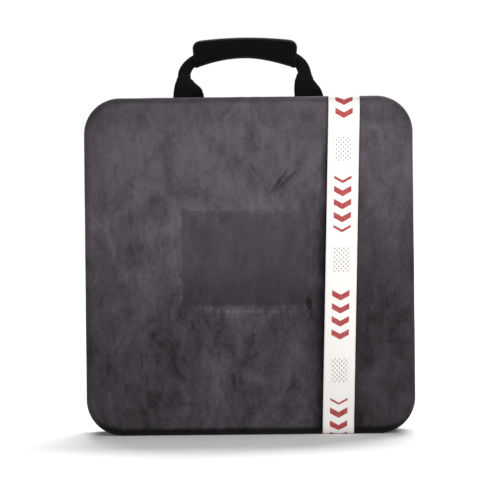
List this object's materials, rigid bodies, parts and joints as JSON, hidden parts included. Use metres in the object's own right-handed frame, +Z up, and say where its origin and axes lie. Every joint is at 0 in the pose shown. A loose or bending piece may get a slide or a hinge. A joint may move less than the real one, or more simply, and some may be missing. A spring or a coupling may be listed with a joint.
{
  "type": "console carrying bag",
  "caption": "Square hard-shell zip bag for a game console, with rounded corners, a padded webbing handle on top, a ribbon down the front, a foam tray and a mesh lid pocket.",
  "frame": {"origin": "middle of the bag's footprint on the surface it stands on", "axes": "+Z up, the ribboned front faces -Y, +X to the right of someone facing the front"},
  "size_m": [0.38, 0.1325, 0.4627],
  "materials": {
    "suede_fabric": "dark grey brushed nap over a moulded shell",
    "piping": "black bound piping",
    "zip_tape": "black woven tape",
    "zip_teeth": "black coil teeth",
    "webbing": "black woven webbing",
    "grip_cover": "black padded cover",
    "foam": "black foam with a brushed cloth face",
    "ribbon": "off-white woven ribbon",
    "mesh": "black knitted mesh",
    "slider_metal": "dark plated metal"
  },
  "bodies": {
    "base": {"rear_shell": "suede_fabric", "rear_piping": "piping", "rear_zip_tape": "zip_tape", "rear_zip_teeth": "zip_teeth", "hinge_gusset": "zip_tape", "handle_webbing": "webbing", "handle_grip": "grip_cover", "foam_frame": "foam", "foam_base_sheet": "foam"},
    "lid": {"front_shell": "suede_fabric", "front_piping": "piping", "front_zip_tape": "zip_tape", "front_zip_teeth": "zip_teeth", "front_band": "ribbon", "lid_mesh_pocket": "mesh", "pocket_hem": "webbing"},
    "left_slider": {"left_slider": "slider_metal"},
    "right_slider": {"right_slider": "slider_metal"},
    "left_pull": {"left_pull": "slider_metal"},
    "right_pull": {"right_pull": "slider_metal"}
  },
  "joints": [
    {"name": "lid_hinge", "type": "hinge", "parent": "base", "child": "lid", "pos_m": [0, -0.011, -0.0003], "axis": [1, 0, 0], "range_deg": [0, 180], "deforming": ["hinge_gusset"]},
    {"name": "left_slider_travel", "type": "slide", "parent": "base", "child": "left_slider", "axis": [-1, 0, 0], "range_m": [0, 0.128]},
    {"name": "right_slider_travel", "type": "slide", "parent": "base", "child": "right_slider", "axis": [1, 0, 0], "range_m": [0, 0.128]},
    {"name": "left_pull_swing", "type": "hinge", "parent": "left_slider", "child": "left_pull", "pos_m": [-0.0095, -0.011, 0.38955], "axis": [0, 1, 0], "range_deg": [0, 90]},
    {"name": "right_pull_swing", "type": "hinge", "parent": "right_slider", "child": "right_pull", "pos_m": [0.0095, -0.011, 0.38955], "axis": [0, -1, 0], "range_deg": [0, 90]}
  ]
}
